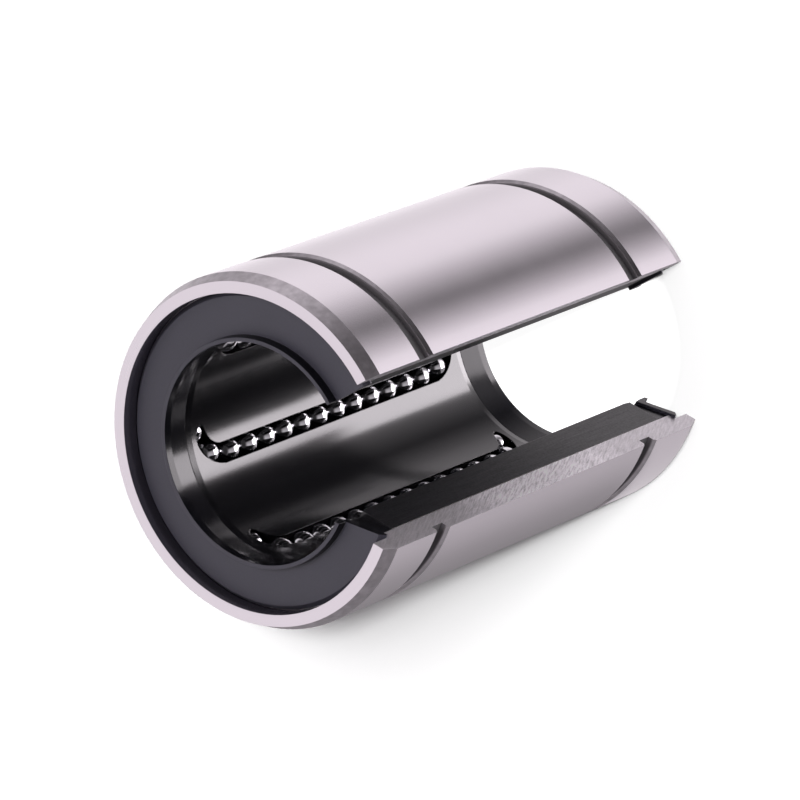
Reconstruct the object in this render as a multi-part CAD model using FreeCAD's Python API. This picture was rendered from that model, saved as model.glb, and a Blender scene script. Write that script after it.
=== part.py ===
import FreeCAD, Part
import math
import os

from FreeCAD import Vector

# Open-type linear ball bearing, in millimetres and degrees.
# The bore axis is Z, the origin is half way along it, and the lengthwise opening faces +X.

# Shaft and balls
SHAFT_DIAMETER = 25.0
BALL_DIAMETER = 3.175
BALL_GAP = 0.025              # least gap between neighbouring balls
RACEWAY_CLEARANCE = 0.03      # between a loaded ball and its raceway

# Ball circuits: each has a loaded row, a return row and a turn at either end
CIRCUIT_COUNT = 5
ROW_SPREAD = 27.0             # angle between the loaded row and the return row
RETURN_LIFT = 1.15            # how much further out the return row runs
RETURN_CLEARANCE = 0.275      # between a returning ball and the sleeve
TURN_LIFT = 0.35              # how far a ball has risen half way round a turn

# Outer sleeve, hardened and ground steel
SLEEVE_LENGTH = 59.0
SLEEVE_WALL = 2.9
END_CHAMFER_DEPTH = 0.7
END_CHAMFER_LENGTH = 1.7
RING_GROOVE_SPACING = 41.0    # over the outer edges of the two retaining ring grooves
RING_GROOVE_WIDTH = 1.85
RING_GROOVE_DEPTH = 1.0
RING_GROOVE_EDGE = 0.3        # chamfer on either edge of a groove
SEAL_SEAT_STEP = 0.85         # the seal seat is this much larger in radius than the bore
SEAL_SEAT_DEPTH = 2.35
RACEWAY_WIDTH = 2.8
RACEWAY_END_GAP = 1.0         # the raceway stops this far before the turn
RACEWAY_ROOT = 0.5            # depth to which a raceway grows into the sleeve's wall

# Lengthwise opening through every ring
OPENING_WIDTH = 19.15         # across the cut edges on the sleeve's outside
OPENING_ANGLE = 50.0

# Ball retainer, moulded in one piece
RETAINER_SHAFT_GAP = 0.25
RETAINER_FIT = 0.05
RETAINER_MOUTH_DEPTH = 0.12   # flare of the retainer's bore at its ends
RETAINER_MOUTH_LENGTH = 0.9
POCKET_CLEARANCE = 0.19       # between a ball and its pocket
POCKET_OVERLAP = 0.6          # length by which a pocket's straight leg runs into its turn
END_WALL = 0.62               # plastic left beyond a turn
RACEWAY_GROOVE_GAP = 0.2      # between a raceway and its groove in the retainer

# End seals
SEAL_FIT = 0.05
SEAL_DEPTH = 4.4              # from the sleeve's end to the seal's inner face, where the retainer begins
SEAL_FACE_RECESS = 1.55       # from the sleeve's end to the flat face
SEAL_EDGE_DEPTH = 0.55        # bevel around the flat face
SEAL_EDGE_LENGTH = 0.6
SEAL_LIP_RECESS = 0.45        # from the sleeve's end to the top of the lip
SEAL_LIP_THICKNESS = 0.45
SEAL_LIP_FLARE = 0.1          # how much thicker the lip is at its foot
SEAL_LIP_LAND = 1.0           # length of the lip that runs on the shaft
SEAL_UPPER_PROUD = 0.35       # how far the flange's end on the +Y side stands proud of the sleeve's cut face
SEAL_SLANT_ANGLE = 14.2       # slant of the flange's end on the -Y side from the middle of the opening
SEAL_SLANT_PROUD = 0.8        # how far that end would stand proud at the sleeve's cut edge
SEAL_BODY_RECESS = 0.35       # how far the body's ends lie behind the flange's

# Radii and heights that follow from the driving dimensions
AXIS = Vector(0, 0, 1)
shaft_radius = SHAFT_DIAMETER / 2
ball_radius = BALL_DIAMETER / 2
ball_pitch = BALL_DIAMETER + BALL_GAP
pocket_radius = ball_radius + POCKET_CLEARANCE
load_radius = shaft_radius + ball_radius
return_radius = load_radius + RETURN_LIFT
turn_apex_radius = load_radius + TURN_LIFT
raceway_radius = load_radius + ball_radius + RACEWAY_CLEARANCE
sleeve_bore_radius = return_radius + ball_radius + RETURN_CLEARANCE
outer_radius = sleeve_bore_radius + SLEEVE_WALL
seat_radius = sleeve_bore_radius + SEAL_SEAT_STEP
retainer_radius = sleeve_bore_radius - RETAINER_FIT
retainer_bore_radius = shaft_radius + RETAINER_SHAFT_GAP
retainer_mouth_radius = retainer_bore_radius + RETAINER_MOUTH_DEPTH
half_length = SLEEVE_LENGTH / 2
seat_height = half_length - SEAL_SEAT_DEPTH
retainer_height = half_length - SEAL_DEPTH
circuit_step = 360 / (CIRCUIT_COUNT + 1)
outward_reach = retainer_radius - load_radius + pocket_radius
half_opening = OPENING_ANGLE / 2


def polar(radius, angle):
    """Point on the middle plane at a radius and an angle from the opening."""
    turn = math.radians(angle)
    return Vector(radius * math.cos(turn), radius * math.sin(turn), 0)


def revolved(corners):
    """Ring about the bore axis from the (radius, height) corners of its section."""
    points = [Vector(radius, 0, height) for radius, height in corners]
    section = Part.Face(Part.makePolygon(points + points[:1]))
    return section.revolve(Vector(), AXIS, 360)


def mirrored(corners):
    """Section corners of the upper half, followed by the same ones in the lower half."""
    return corners + [(radius, -height) for radius, height in reversed(corners)]


def lengthwise_bar(angle, inner, outer, width, length):
    """Bar along the bore axis, with its flat inner and outer faces square to the radius."""
    bar = Part.makeBox(outer - inner, width, length, Vector(inner, -width / 2, -length / 2))
    bar.rotate(Vector(), AXIS, angle)
    return bar


def opening_side(slant, proud):
    """Two points on a side of the opening that slants from its middle, proud of the sleeve's cut edge."""
    slope = math.radians(slant)
    edge_y = OPENING_WIDTH / 2 - proud * math.cos(slope)
    edge_x = math.sqrt(outer_radius ** 2 - (OPENING_WIDTH / 2) ** 2) + proud * math.sin(slope)
    return [(x, edge_y + (x - edge_x) * math.tan(slope)) for x in (shaft_radius / 2, 2 * outer_radius)]


def opening_prism(upper, lower, low, high):
    """Wedge of the opening between its sides towards +Y and -Y, and between two heights."""
    corners = upper + [(x, -y) for x, y in reversed(lower)]
    points = [Vector(x, y, low) for x, y in corners]
    section = Part.Face(Part.makePolygon(points + points[:1]))
    return section.extrude(AXIS * (high - low))


def pocket_section(centre, across, outward):
    """Section of a ball pocket: half round towards the shaft, open towards the sleeve."""
    left = centre - across * pocket_radius
    right = centre + across * pocket_radius
    rise = outward * outward_reach
    edges = [
        Part.Arc(left, centre - outward * pocket_radius, right).toShape(),
        Part.makeLine(right, right + rise),
        Part.makeLine(right + rise, left + rise),
        Part.makeLine(left + rise, left),
    ]
    return Part.Face(Part.Wire(edges))


def balls(centres):
    """Group of separate balls."""
    return Part.makeCompound([Part.makeSphere(ball_radius, centre) for centre in centres])


class Turn:
    """Half circle that carries the balls from one row to the other, tilted away from the shaft."""

    def __init__(self, centre, start, forward, radius):
        self.centre = centre
        self.start = start
        self.forward = forward
        self.radius = radius
        self.axis = start.cross(forward)

    def point(self, angle):
        sideways = self.start * math.cos(angle)
        endways = self.forward * math.sin(angle)
        return self.centre + (sideways + endways) * self.radius

    def ball_centres(self):
        closest = 2 * math.asin(ball_pitch / (2 * self.radius))
        count = int(math.pi / closest)
        step = math.pi / count
        return [self.point(step * (index + 0.5)) for index in range(count)]

    def pocket(self, outward):
        section = pocket_section(self.point(0), self.start, outward)
        return section.revolve(self.centre, self.axis, 180)


class Circuit:
    """One endless track of balls: loaded row, return row and the turns between them."""

    def __init__(self, middle_angle):
        self.load_angle = middle_angle + ROW_SPREAD / 2
        self.return_angle = middle_angle - ROW_SPREAD / 2
        self.load_point = polar(load_radius, self.load_angle)
        self.return_point = polar(return_radius, self.return_angle)
        middle = (self.load_point + self.return_point) * 0.5
        spread = self.load_point - self.return_point
        turn_radius = spread.Length / 2
        across = spread * (1 / spread.Length)
        outward = across.cross(AXIS)

        # The turn leans outward until a ball at its apex has risen by TURN_LIFT
        depth = middle.dot(outward)
        apex_rise = math.sqrt(depth ** 2 + turn_apex_radius ** 2 - middle.dot(middle)) - depth
        lean = math.asin(apex_rise / turn_radius)
        turn_height = turn_radius * math.cos(lean)
        self.straight_half = retainer_height - END_WALL - pocket_radius - turn_height
        self.turns = {}
        self.turn_outward = {}
        for end, side in (("upper", 1), ("lower", -1)):
            centre = middle + AXIS * (side * self.straight_half)
            forward = AXIS * (side * math.cos(lean)) + outward * math.sin(lean)
            self.turns[end] = Turn(centre, across, forward, turn_radius)
            self.turn_outward[end] = outward * math.cos(lean) - AXIS * (side * math.sin(lean))

    def row_centres(self, point):
        count = int(2 * self.straight_half / ball_pitch)
        spacing = 2 * self.straight_half / count
        lowest = spacing / 2 - self.straight_half
        return [point + AXIS * (lowest + spacing * index) for index in range(count)]

    def raceway(self):
        length = 2 * (self.straight_half - RACEWAY_END_GAP)
        outer = sleeve_bore_radius + RACEWAY_ROOT
        return lengthwise_bar(self.load_angle, raceway_radius, outer, RACEWAY_WIDTH, length)

    def leg_pocket(self, point, angle):
        reach = AXIS * (self.straight_half + POCKET_OVERLAP)
        section = pocket_section(point - reach, polar(1, angle + 90), polar(1, angle))
        return section.extrude(reach * 2)

    def raceway_groove(self):
        inner = raceway_radius - RACEWAY_GROOVE_GAP
        width = RACEWAY_WIDTH + 2 * RACEWAY_GROOVE_GAP
        return lengthwise_bar(self.load_angle, inner, inner + outward_reach, width, SLEEVE_LENGTH)

    def pockets(self):
        legs = [
            self.leg_pocket(self.load_point, self.load_angle),
            self.leg_pocket(self.return_point, self.return_angle),
        ]
        turns = [turn.pocket(self.turn_outward[end]) for end, turn in self.turns.items()]
        return legs + turns + [self.raceway_groove()]


def make_sleeve(circuits, opening):
    """Steel sleeve with retaining ring grooves, seal seats and a raceway for each loaded row."""
    groove_top = RING_GROOVE_SPACING / 2
    groove_bottom = groove_top - RING_GROOVE_WIDTH
    groove_radius = outer_radius - RING_GROOVE_DEPTH
    upper = [
        (sleeve_bore_radius, seat_height),
        (seat_radius, seat_height),
        (seat_radius, half_length),
        (outer_radius - END_CHAMFER_DEPTH, half_length),
        (outer_radius, half_length - END_CHAMFER_LENGTH),
        (outer_radius, groove_top + RING_GROOVE_EDGE),
        (outer_radius - RING_GROOVE_EDGE, groove_top),
        (groove_radius, groove_top),
        (groove_radius, groove_bottom),
        (outer_radius - RING_GROOVE_EDGE, groove_bottom),
        (outer_radius, groove_bottom - RING_GROOVE_EDGE),
    ]
    sleeve = revolved(mirrored(upper)).fuse([circuit.raceway() for circuit in circuits])
    return sleeve.cut(opening).removeSplitter()


def make_retainer(circuits, opening):
    """Plastic cage that guides the balls and shows each loaded row through a window in its bore."""
    upper = [
        (retainer_bore_radius, retainer_height - RETAINER_MOUTH_LENGTH),
        (retainer_mouth_radius, retainer_height),
        (retainer_radius, retainer_height),
    ]
    retainer = revolved(mirrored(upper))
    for circuit in circuits:
        retainer = retainer.cut(circuit.pockets())
    return retainer.cut(opening).removeSplitter()


def make_upper_seal():
    """Seal with a body inside the sleeve's bore, a flange in its seat and a raised lip around the shaft."""
    face_height = half_length - SEAL_FACE_RECESS
    lip_height = half_length - SEAL_LIP_RECESS
    seal_radius = seat_radius - SEAL_FIT
    lip_radius = shaft_radius + SEAL_LIP_THICKNESS
    seal = revolved([
        (shaft_radius, lip_height),
        (shaft_radius, lip_height - SEAL_LIP_LAND),
        (retainer_mouth_radius, retainer_height),
        (retainer_radius, retainer_height),
        (retainer_radius, seat_height),
        (seal_radius, seat_height),
        (seal_radius, face_height - SEAL_EDGE_LENGTH),
        (seal_radius - SEAL_EDGE_DEPTH, face_height),
        (lip_radius + SEAL_LIP_FLARE, face_height),
        (lip_radius, lip_height),
    ])
    gaps = []
    for recess, low, high in ((SEAL_BODY_RECESS, 0, seat_height), (0, seat_height, SLEEVE_LENGTH)):
        upper = opening_side(half_opening, SEAL_UPPER_PROUD - recess)
        lower = opening_side(SEAL_SLANT_ANGLE, SEAL_SLANT_PROUD - recess)
        gaps.append(opening_prism(upper, lower, low, high))
    return seal.cut(gaps).removeSplitter()


circuits = [Circuit(circuit_step * (index + 1)) for index in range(CIRCUIT_COUNT)]
cut_side = opening_side(half_opening, 0)
opening = opening_prism(cut_side, cut_side, -SLEEVE_LENGTH, SLEEVE_LENGTH)
upper_seal = make_upper_seal()

nodes = {
    "outer_sleeve": make_sleeve(circuits, opening),
    "ball_retainer": make_retainer(circuits, opening),
    "upper_seal": upper_seal,
    "lower_seal": upper_seal.mirror(Vector(), AXIS),
}
for number, circuit in enumerate(circuits, start=1):
    nodes[f"circuit_{number}_load_row"] = balls(circuit.row_centres(circuit.load_point))
    nodes[f"circuit_{number}_return_row"] = balls(circuit.row_centres(circuit.return_point))
    for end, turn in circuit.turns.items():
        nodes[f"circuit_{number}_{end}_turn"] = balls(turn.ball_centres())

os.makedirs("parts", exist_ok=True)
for name, shape in nodes.items():
    shape.exportStep(f"parts/{name}.step")
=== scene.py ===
import math

import bpy
from mathutils import Matrix, Vector


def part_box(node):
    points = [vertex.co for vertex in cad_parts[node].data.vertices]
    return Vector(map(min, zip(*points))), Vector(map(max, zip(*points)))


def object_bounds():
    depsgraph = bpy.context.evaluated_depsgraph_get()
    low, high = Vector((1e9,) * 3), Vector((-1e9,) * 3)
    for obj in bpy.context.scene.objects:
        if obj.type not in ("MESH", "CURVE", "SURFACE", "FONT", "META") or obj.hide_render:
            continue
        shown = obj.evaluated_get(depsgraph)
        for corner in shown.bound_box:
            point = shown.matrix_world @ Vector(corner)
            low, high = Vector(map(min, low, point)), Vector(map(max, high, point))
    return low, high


# Looks of an open-type linear ball bearing, in metres and degrees.
# The bore axis is Z, the lengthwise opening faces +X, and the bearing stands on its lower end.
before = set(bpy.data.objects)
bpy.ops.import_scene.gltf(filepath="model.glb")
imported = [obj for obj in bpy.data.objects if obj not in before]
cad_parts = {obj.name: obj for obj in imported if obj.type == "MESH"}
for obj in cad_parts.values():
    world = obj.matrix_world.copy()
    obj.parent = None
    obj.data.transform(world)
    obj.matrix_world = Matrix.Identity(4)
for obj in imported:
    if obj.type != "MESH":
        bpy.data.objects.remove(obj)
cad_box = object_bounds()

# Camera
CAMERA_AZIMUTH = 109.757      # 0 looks along +Y, 90 along -X
CAMERA_ELEVATION = 49.612
CAMERA_ROLL = -111.05
CAMERA_DISTANCE = 0.63293
CAMERA_AIM = (-0.001325, -0.000715, 0.00127)
CAMERA_LENS = 253.854
CAMERA_SENSOR = 36.0

# Floor and light
FLOOR_SIZE = 40.0
FLOOR_COLOUR = (0.2, 0.2, 0.2, 1.0)
FLOOR_ROUGHNESS = 0.9
# The floor's glow inside the bore is a painted pool of light
PAINTED_POOL_GLOW = 0.95              # extra glow of the floor inside the bore
POOL_RADII = (0.0128, 0.016)  # the glow is full inside the first and gone beyond the second
LIGHT_TINT = (1.0, 0.94, 0.985, 1.0)
CEILING_BRIGHTNESS = 1.2
SEEN_BRIGHTNESS = 1.1         # of the plain background beyond the floor's edge

# Lamps on the floor alone, for a soft shadow beside the bearing: azimuth from +X, elevation, width and power
FLOOR_LAMPS = {
    "floor_near": (23.9, 50.0, 3.0, 9.4),
    "floor_middle": (26.6, 51.0, 4.5, 3.2),
    "floor_wide": (33.0, 54.0, 10.0, 5.8),
}

# The tent is open and dark towards its front. Its fades go by the cosine of the angle from the front,
# or by height on a unit sphere.
TENT_FRONT = (0.6, 0.21, 0.77)
FRONT_BRIGHTNESS = 0.04
FRONT_FADE = (0.35, 0.7)
PANEL_FADE = (-0.55, -0.3)    # from the panels below to those at the horizon
CEILING_FADE = (0.3, 0.65)    # from the horizon to the ceiling

# Brightness of the tent below the horizon, by the azimuth that it lies at from +X
TENT_PANELS = (
    (-180, 1.2),
    (-162, 1.1),
    (-150, 0.3),
    (-140, 0.28),
    (-112, 0.39),
    (-80, 0.66),
    (-62, 0.75),
    (-50, 0.35),
    (-20, 0.35),
    (14, 1.1),
    (28, 1.45),
    (42, 1.4),
    (56, 0.66),
    (70, 0.16),
    (85, 0.62),
    (102, 1.2),
    (125, 1.2),
    (150, 0.98),
    (166, 1.0),
    (180, 1.2),
)

# Brightness of the tent at the horizon, by azimuth
HORIZON_PANELS = (
    (-180, 0.8),
    (-150, 1.0),
    (-125, 0.6),
    (-105, 0.24),
    (-62, 0.2),
    (-45, 0.5),
    (-15, 0.85),
    (8, 0.5),
    (25, 0.09),
    (53, 0.05),
    (69, 0.32),
    (85, 0.71),
    (101, 0.96),
    (116, 0.64),
    (131, 0.28),
    (146, 0.05),
    (162, 0.6),
    (180, 0.8),
)

# Softbox under the opening, which shines on the bore and not on the steel outside
SOFTBOX_DIRECTION = (0.62, 0.07, -0.78)
SOFTBOX_DISTANCE = 3.0
SOFTBOX_SIZE = 2.2
SOFTBOX_POWER = 132.0

# Cards on the floor that only reflections see, as painted reflections of the lit floor at the bearing's foot
# and of its shadow beside the lower side: brightness, and corners in millimetres
FLOOR_CARDS = {
    "foot_reflection_card": (0.75, ((17.7, -9.4), (14.1, -14.2), (10.0, -17.4), (7.6, -18.6), (0.6, -21.4), (4.0, -21.9),
                         (11.2, -21.2), (19.2, -16.8))),
    "shade_card": (0.25, ((2.1, -20.8), (4.1, -20.9), (-34.6, -45.6), (-52.0, -46.0), (-46.0, -34.0))),
}

# Key light from above
KEY_DIRECTION = (0.1, 0.33, 0.94)
KEY_DISTANCE = 0.8
KEY_SIZE = 0.35
KEY_POWER = 2.45

# Sizes of the bearing that the finishes follow. Each pair is where a change begins and ends.
MILLIMETRE = 0.001
OUTER_RADIUS = -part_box("outer_sleeve")[0].x
GROOVE_RADII = (OUTER_RADIUS - 0.00055, OUTER_RADIUS - 0.0003)   # from the dull groove to its bright edge
GROOVE_REACH = (0.0215, 0.022)    # no retaining ring groove lies further than this from the middle
# Painted light: the cut faces are painted brighter, with stronger milling marks, nearer to the middle
PAINTED_LIGHT_MIDDLE = (0.006, 0.018)    # the cut faces are brighter nearer to the middle
SEAL_RIM_RADII = (0.015, 0.016)   # from the seal's lip to its rim

# Kinds of face, by the share of their normal that points along the axis or out from it
SLOPE_STARTS = (0.25, 0.35)
SLOPE_STOPS = (0.9, 0.95)
STEEL_END = (0.93, 0.97)
SEAL_END = (0.9, 0.97)
FACES_ROUND = (0.35, 0.5)
FACES_OUT = (0.3, 0.6)
FACES_IN = (-0.6, -0.3)
NOT_INWARD = (-0.2, -0.1)

# Colours, depth of the fine relief and rounding of the edges
STEEL_COLOUR = (0.63, 0.6, 0.63)
RETAINER_COLOUR = (0.0045, 0.0045, 0.0055)
SEAL_COLOUR = (0.043, 0.043, 0.058)
BALL_COLOUR = (0.6, 0.6, 0.62)
BLACK = (0.0, 0.0, 0.0, 1.0)
WHITE = (1.0, 1.0, 1.0, 1.0)
RETAINER_IOR = 1.43
STEEL_RELIEF = 0.0000012
RETAINER_RELIEF = 0.0000015
SEAL_RELIEF = 0.000004
BALL_RELIEF = 0.0000004
STEEL_EDGE = 0.00005
PLASTIC_EDGE = 0.00012
EDGE_SAMPLES = 6


class Graph:
    """Node tree of a material or of the world, with short ways to add to it."""

    def __init__(self, tree):
        self.tree = tree
        tree.nodes.clear()

    def feed(self, socket, value):
        """Links a socket to another one, or sets the socket's own value."""
        if isinstance(value, bpy.types.NodeSocket):
            self.tree.links.new(value, socket)
        else:
            socket.default_value = value

    def add(self, kind, inputs=None, **settings):
        node = self.tree.nodes.new(kind)
        for name, value in settings.items():
            setattr(node, name, value)
        for name, value in (inputs or {}).items():
            self.feed(node.inputs[name], value)
        return node

    def math(self, operation, *values):
        node = self.add("ShaderNodeMath", operation=operation)
        for socket, value in zip(node.inputs, values):
            self.feed(socket, value)
        return node.outputs[0]

    def vector_math(self, operation, *values):
        node = self.add("ShaderNodeVectorMath", operation=operation)
        for socket, value in zip(node.inputs, values):
            self.feed(socket, value)
        return node.outputs[1] if operation in ("LENGTH", "DOT_PRODUCT") else node.outputs[0]

    def step(self, value, span, low=0.0, high=1.0):
        """Number that goes smoothly from low to high as value goes from one end of span to the other."""
        node = self.add("ShaderNodeMapRange", interpolation_type="SMOOTHSTEP")
        for socket, number in zip(node.inputs, (value, *span, low, high)):
            self.feed(socket, number)
        return node.outputs[0]

    def total(self, start, *shares):
        """Start plus each (value, weight)."""
        result = start
        for value, weight in shares:
            result = self.math("MULTIPLY_ADD", value, weight, result)
        return result

    def noise(self, vector, detail=2.0, fourth=None):
        """Noise from 0 to 1, over a vector that is already scaled to cells per metre."""
        inputs = {"Vector": vector, "Scale": 1.0, "Detail": detail}
        if fourth is None:
            return self.add("ShaderNodeTexNoise", inputs).outputs[0]
        inputs["W"] = fourth
        return self.add("ShaderNodeTexNoise", inputs, noise_dimensions="4D").outputs[0]

    def stretched(self, vector, across, along):
        """Vector scaled by one factor across the bore axis and by another along it."""
        return self.vector_math("MULTIPLY", vector, (across, across, along))

    def ring_of_panels(self, turn, panels):
        """Brightness of a ring of panels, given as (azimuth, brightness), at a share of a turn."""
        brightest = max(brightness for _, brightness in panels)
        ramp = self.add("ShaderNodeValToRGB", {"Fac": turn})
        stops = ramp.color_ramp.elements
        stops.remove(stops[1])
        for index, (angle, brightness) in enumerate(panels):
            place = angle / 360 + 0.5
            stop = stops[0] if index == 0 else stops.new(place)
            stop.position = place
            stop.color = (brightness / brightest,) * 3 + (1.0,)
        return self.math("MULTIPLY", ramp.outputs["Color"], brightest)

    def bump(self, height, depth, edge):
        """Normal of a surface with a fine relief and slightly rounded edges."""
        rounded = self.add("ShaderNodeBevel", {"Radius": edge}, samples=EDGE_SAMPLES).outputs[0]
        inputs = {"Height": height, "Distance": depth, "Normal": rounded}
        return self.add("ShaderNodeBump", inputs).outputs[0]


class Surface(Graph):
    """Material of one piece, with its place around the bore axis and the way it faces."""

    def __init__(self, name):
        self.material = bpy.data.materials.new(name)
        self.material.use_nodes = True
        super().__init__(self.material.node_tree)
        self.place = self.add("ShaderNodeTexCoord").outputs["Object"]
        across = self.vector_math("MULTIPLY", self.place, (1.0, 1.0, 0.0))
        self.radius = self.vector_math("LENGTH", across)
        self.height = self.math("ABSOLUTE", self.part(self.place, "Z"))
        facing = self.add("ShaderNodeNewGeometry").outputs["True Normal"]
        self.endward = self.math("ABSOLUTE", self.part(facing, "Z"))
        outward = self.vector_math("NORMALIZE", across)
        self.outward = self.vector_math("DOT_PRODUCT", facing, outward)

    def part(self, vector, axis):
        return self.add("ShaderNodeSeparateXYZ", {"Vector": vector}).outputs[axis]

    def side_face(self):
        """One on faces that lie along the axis and face round the bore, as the opening's cut faces do."""
        lengthwise = self.step(self.endward, SLOPE_STARTS, 1.0, 0.0)
        sideways = self.step(self.math("ABSOLUTE", self.outward), FACES_ROUND, 1.0, 0.0)
        return self.math("MULTIPLY", lengthwise, sideways)

    def rings(self, fineness, spread=60.0):
        """Fine lines that run round the axis, on any turned or ground face."""
        vector = self.stretched(self.place, spread, fineness)
        return self.noise(vector, fourth=self.math("MULTIPLY", self.radius, fineness))

    def shaded(self, colour, tone):
        """The colour, made lighter or darker by tone."""
        node = self.add("ShaderNodeVectorMath", {"Scale": tone}, operation="SCALE")
        node.inputs[0].default_value = colour
        return node.outputs[0]

    def finish(self, **inputs):
        shader = self.add("ShaderNodeBsdfPrincipled")
        for name, value in inputs.items():
            self.feed(shader.inputs[name.replace("_", " ")], value)
        output = self.add("ShaderNodeOutputMaterial")
        self.feed(output.inputs["Surface"], shader.outputs[0])
        return self.material


def sleeve_steel():
    """Ground outside, turned ends and grooves, and milled cut faces."""
    s = Surface("sleeve_steel")
    end = s.step(s.endward, STEEL_END)
    chamfer = s.math("MULTIPLY", s.step(s.endward, SLOPE_STARTS), s.step(s.endward, SLOPE_STOPS, 1.0, 0.0))
    milled = s.side_face()
    sunk = s.step(s.radius, GROOVE_RADII, 1.0, 0.0)
    between = s.step(s.height, GROOVE_REACH, 1.0, 0.0)
    open_side = s.math("MULTIPLY", s.step(s.outward, NOT_INWARD), s.math("SUBTRACT", 1.0, milled))
    groove = s.math("MULTIPLY", s.math("MULTIPLY", sunk, between), open_side)

    rings = s.rings(7000.0)
    cloud = s.noise(s.stretched(s.place, 180.0, 180.0), detail=3.0)
    mottle = s.noise(s.stretched(s.place, 1100.0, 1100.0), detail=4.0)
    along = s.part(s.place, "Z")
    across_cuts = s.total(0.0, (along, 2200.0), (s.radius, -4400.0))
    along_cuts = s.total(0.0, (along, 500.0), (s.radius, 250.0))
    cuts = s.add("ShaderNodeCombineXYZ", {"X": across_cuts, "Y": along_cuts}).outputs[0]
    milling = s.noise(cuts, detail=3.0)
    grit = s.noise(s.stretched(s.place, 5200.0, 3600.0), detail=1.0)

    even = s.total(0.97, (cloud, 0.06))
    worn = s.math("MULTIPLY", chamfer, s.total(-0.5, (mottle, 0.7)))
    # Painted light: the cut faces are painted brighter nearer to the middle, and their milling marks get
    # stronger contrast there as painted glints
    middle = s.step(s.height, PAINTED_LIGHT_MIDDLE, 1.0, 0.0)
    bite_and_glints = s.math("MULTIPLY", s.total(-0.85, (milling, 1.3), (grit, 0.4)), s.total(0.6, (middle, 1.3)))
    streaks_and_painted_light = s.math("MULTIPLY", milled, s.total(-0.07, (bite_and_glints, 1.0), (middle, 0.5)))
    tone = s.total(even, (worn, 1.0), (streaks_and_painted_light, 1.0), (groove, -0.75))
    fine = s.total(0.16, (cloud, 0.05), (rings, 0.05))
    rough = s.total(fine, (chamfer, 0.16), (end, 0.08), (milled, 0.22), (groove, 0.3))
    height = s.total(0.0, (rings, 0.5), (s.math("MULTIPLY", milled, milling), 18.0))
    return s.finish(
        Base_Color=s.shaded(STEEL_COLOUR, tone),
        Metallic=s.total(1.0, (milled, -0.3), (groove, -0.9)),
        Specular_IOR_Level=s.total(0.5, (groove, -0.45)),
        Roughness=rough,
        Normal=s.bump(height, STEEL_RELIEF, STEEL_EDGE),
    )


def retainer_plastic():
    """Glossy black moulding with a faint grain, duller where the opening was cut."""
    s = Surface("retainer_plastic")
    sawn = s.side_face()
    grain = s.noise(s.stretched(s.place, 4200.0, 4200.0), detail=2.0)
    flow = s.noise(s.stretched(s.place, 320.0, 90.0), detail=3.0)
    scratches = s.noise(s.stretched(s.place, 5200.0, 240.0), detail=3.0)
    tone = s.total(0.8, (flow, 0.3), (s.math("MULTIPLY", sawn, scratches), 0.6))
    rough = s.total(0.1, (flow, 0.07), (grain, 0.05), (sawn, 0.2))
    height = s.total(0.0, (grain, 0.7), (s.math("MULTIPLY", sawn, scratches), 7.0))
    sheen = s.math("MULTIPLY", sawn, s.total(-0.6, (grain, 0.7), (scratches, 0.5)))
    return s.finish(
        Base_Color=s.shaded(RETAINER_COLOUR, tone),
        Roughness=rough,
        IOR=RETAINER_IOR,
        Specular_IOR_Level=s.total(0.5, (sheen, 1.0)),
        Normal=s.bump(height, RETAINER_RELIEF, PLASTIC_EDGE),
    )


def seal_plastic():
    """Matte dark slate moulding with a spark eroded texture, smoother on its lip and edges, glossy inside."""
    s = Surface("seal_plastic")
    flat = s.step(s.endward, SEAL_END)
    rim = s.math("MULTIPLY", s.step(s.outward, FACES_OUT), s.step(s.radius, SEAL_RIM_RADII))
    matte = s.math("MAXIMUM", flat, rim)
    inside = s.step(s.outward, FACES_IN, 1.0, 0.0)
    texture = s.noise(s.stretched(s.place, 6500.0, 6500.0), detail=3.0)
    flow = s.noise(s.stretched(s.place, 210.0, 210.0), detail=3.0)
    pale = s.math("MULTIPLY", matte, s.total(0.52, (texture, 0.3)))
    tone = s.total(0.05, (flow, 0.1), (pale, 1.0))
    rough = s.total(0.2, (matte, 0.28), (texture, 0.06), (inside, -0.08))
    height = s.math("MULTIPLY", texture, s.total(0.06, (flat, 0.94)))
    return s.finish(
        Base_Color=s.shaded(SEAL_COLOUR, tone),
        Roughness=rough,
        Specular_IOR_Level=s.total(0.2, (matte, 0.3), (inside, -0.04)),
        Normal=s.bump(height, SEAL_RELIEF, PLASTIC_EDGE),
    )


def ball_steel():
    """Polished bearing balls with a thin oil film and hairline marks."""
    s = Surface("ball_steel")
    film = s.noise(s.stretched(s.place, 900.0, 900.0), detail=2.0)
    marks = s.noise(s.stretched(s.place, 9000.0, 3000.0), detail=2.0)
    return s.finish(
        Base_Color=s.shaded(BALL_COLOUR, s.total(0.85, (film, 0.3))),
        Metallic=1.0,
        Roughness=s.total(0.05, (film, 0.08), (marks, 0.03)),
        Normal=s.add("ShaderNodeBump", {"Height": marks, "Distance": BALL_RELIEF}).outputs[0],
    )


def make_floor():
    """Plain pale floor under the bearing's lower end, with a painted pool of light glowing inside the bore.
    """
    bpy.ops.mesh.primitive_plane_add(size=FLOOR_SIZE, location=(0, 0, cad_box[0].z))
    floor = bpy.context.object
    floor.name = "floor"
    s = Surface("floor_white")
    material = s.finish(
        Base_Color=FLOOR_COLOUR,
        Roughness=FLOOR_ROUGHNESS,
        Specular_IOR_Level=0.0,
        Emission_Color=WHITE,
        # Painted pool of light inside the bore
        Emission_Strength=s.step(s.radius, POOL_RADII, PAINTED_POOL_GLOW, 0.0),
    )
    floor.data.materials.append(material)
    floor.visible_glossy = False
    return floor


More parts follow.
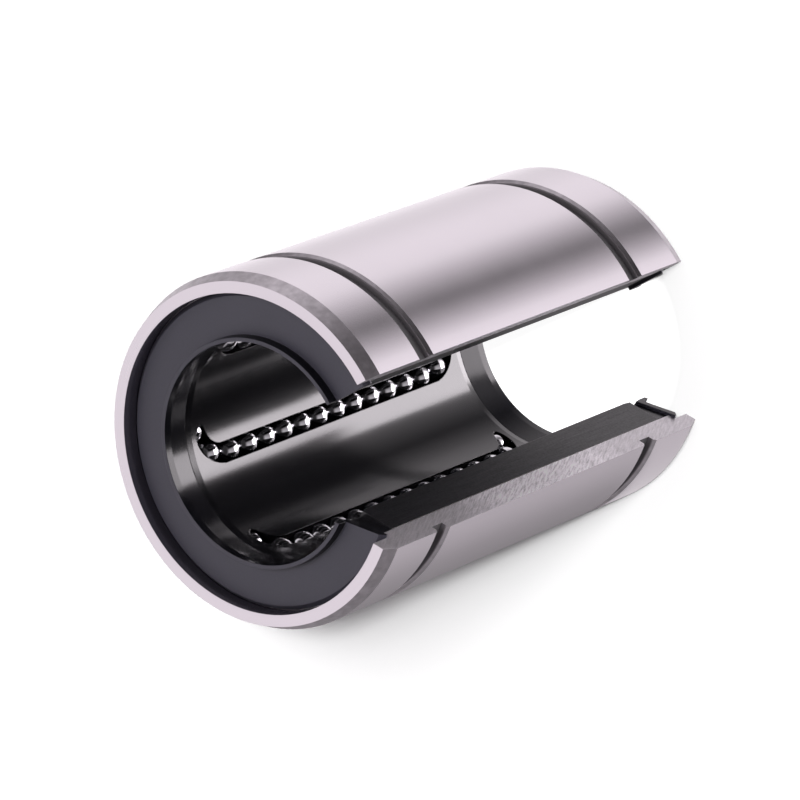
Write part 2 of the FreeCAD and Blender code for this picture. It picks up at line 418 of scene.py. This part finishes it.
def make_floor_lamps(floor):
    """Suns that light only the floor, where the bearing casts a soft shadow."""
    lit = bpy.data.collections.new("lit_floor")
    lit.objects.link(floor)
    for name, (azimuth, elevation, width, power) in FLOOR_LAMPS.items():
        sun = bpy.data.lights.new(name, "SUN")
        sun.energy = power
        sun.angle = math.radians(width)
        lamp = bpy.data.objects.new(name, sun)
        lamp.rotation_euler = (0, math.radians(90 - elevation), math.radians(azimuth))
        lamp.light_linking.receiver_collection = lit
        bpy.context.scene.collection.objects.link(lamp)


def make_floor_cards():
    # Painted reflections: glowing cards that only glossy rays see
    for name, (brightness, corners) in FLOOR_CARDS.items():
        points = [(x * MILLIMETRE, y * MILLIMETRE, cad_box[0].z) for x, y in corners]
        mesh = bpy.data.meshes.new(name)
        mesh.from_pydata(points, [], [range(len(points))])
        s = Surface(name)
        mesh.materials.append(s.finish(
            Base_Color=BLACK,
            Specular_IOR_Level=0.0,
            Emission_Color=LIGHT_TINT,
            Emission_Strength=brightness,
        ))
        card = bpy.data.objects.new(name, mesh)
        card.visible_camera = False
        card.visible_diffuse = False
        card.visible_shadow = False
        bpy.context.scene.collection.objects.link(card)


def make_tent():
    """Soft white ceiling, a darker horizon, and panels of different brightness below it."""
    world = bpy.data.worlds.new("light_tent")
    bpy.context.scene.world = world
    world.use_nodes = True
    g = Graph(world.node_tree)
    direction = g.add("ShaderNodeTexCoord").outputs["Generated"]
    split = g.add("ShaderNodeSeparateXYZ", {"Vector": direction})
    azimuth = g.math("ARCTAN2", split.outputs["Y"], split.outputs["X"])
    turn = g.math("MULTIPLY_ADD", azimuth, 0.5 / math.pi, 0.5)
    floor_panels = g.ring_of_panels(turn, TENT_PANELS)
    horizon_panels = g.ring_of_panels(turn, HORIZON_PANELS)
    up = split.outputs["Z"]
    front = g.vector_math("DOT_PRODUCT", direction, Vector(TENT_FRONT).normalized())
    ceiling = g.step(front, FRONT_FADE, CEILING_BRIGHTNESS, FRONT_BRIGHTNESS)
    low = g.step(up, PANEL_FADE)
    high = g.step(up, CEILING_FADE)
    below = g.add("ShaderNodeMix", {0: low, 2: floor_panels, 3: horizon_panels}).outputs[0]
    around = g.add("ShaderNodeMix", {0: high, 2: below, 3: ceiling}).outputs[0]
    seen = g.add("ShaderNodeLightPath").outputs["Is Camera Ray"]
    strength = g.add("ShaderNodeMix", {0: seen, 2: around, 3: SEEN_BRIGHTNESS}).outputs[0]
    background = g.add("ShaderNodeBackground", {"Color": LIGHT_TINT, "Strength": strength})
    output = g.add("ShaderNodeOutputWorld")
    g.feed(output.inputs["Surface"], background.outputs[0])


def make_panel_lamp(name, direction, distance, size, power):
    """Round lamp that faces the origin from a direction."""
    light = bpy.data.lights.new(name, "AREA")
    light.shape = "DISK"
    light.size = size
    light.energy = power
    light.color = LIGHT_TINT[:3]
    lamp = bpy.data.objects.new(name, light)
    direction = Vector(direction).normalized()
    lamp.location = direction * distance
    lamp.rotation_euler = direction.to_track_quat("Z", "Y").to_euler()
    bpy.context.scene.collection.objects.link(lamp)
    return lamp


def make_softbox():
    """Lamp under the opening for all pieces but the outer sleeve, which still shades them."""
    lamp = make_panel_lamp("softbox", SOFTBOX_DIRECTION, SOFTBOX_DISTANCE, SOFTBOX_SIZE, SOFTBOX_POWER)
    lit = bpy.data.collections.new("lit_bore")
    blocking = bpy.data.collections.new("blocking_bore")
    for name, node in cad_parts.items():
        blocking.objects.link(node)
        if name != "outer_sleeve":
            lit.objects.link(node)
    lamp.light_linking.receiver_collection = lit
    lamp.light_linking.blocker_collection = blocking


def make_key_light():
    """Soft lamp above that no surface mirrors."""
    lamp = make_panel_lamp("key", KEY_DIRECTION, KEY_DISTANCE, KEY_SIZE, KEY_POWER)
    lamp.visible_glossy = False


def make_camera():
    """Long lens, rolled so that the standing bearing appears to lie on its side."""
    azimuth, elevation, roll = map(math.radians, (CAMERA_AZIMUTH, CAMERA_ELEVATION, CAMERA_ROLL))
    level = math.cos(elevation)
    back = Vector((math.sin(azimuth) * level, -math.cos(azimuth) * level, math.sin(elevation)))
    right = Matrix.Rotation(roll, 3, back) @ Vector((math.cos(azimuth), math.sin(azimuth), 0))
    turned = Matrix((right, back.cross(right), back)).transposed()
    lens = bpy.data.cameras.new("camera")
    lens.lens = CAMERA_LENS
    lens.sensor_width = CAMERA_SENSOR
    camera = bpy.data.objects.new("camera", lens)
    camera.matrix_world = Matrix.Translation(Vector(CAMERA_AIM) + back * CAMERA_DISTANCE) @ turned.to_4x4()
    bpy.context.scene.collection.objects.link(camera)
    bpy.context.scene.camera = camera


finishes = {
    "ground_steel": sleeve_steel(),
    "retainer_plastic": retainer_plastic(),
    "seal_plastic": seal_plastic(),
    "ball_steel": ball_steel(),
}
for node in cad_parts.values():
    for place in node.material_slots:
        place.material = finishes[place.material.name]

make_floor_lamps(make_floor())
make_floor_cards()
make_tent()
make_softbox()
make_key_light()
make_camera()
bpy.context.scene.view_settings.view_transform = "Standard"
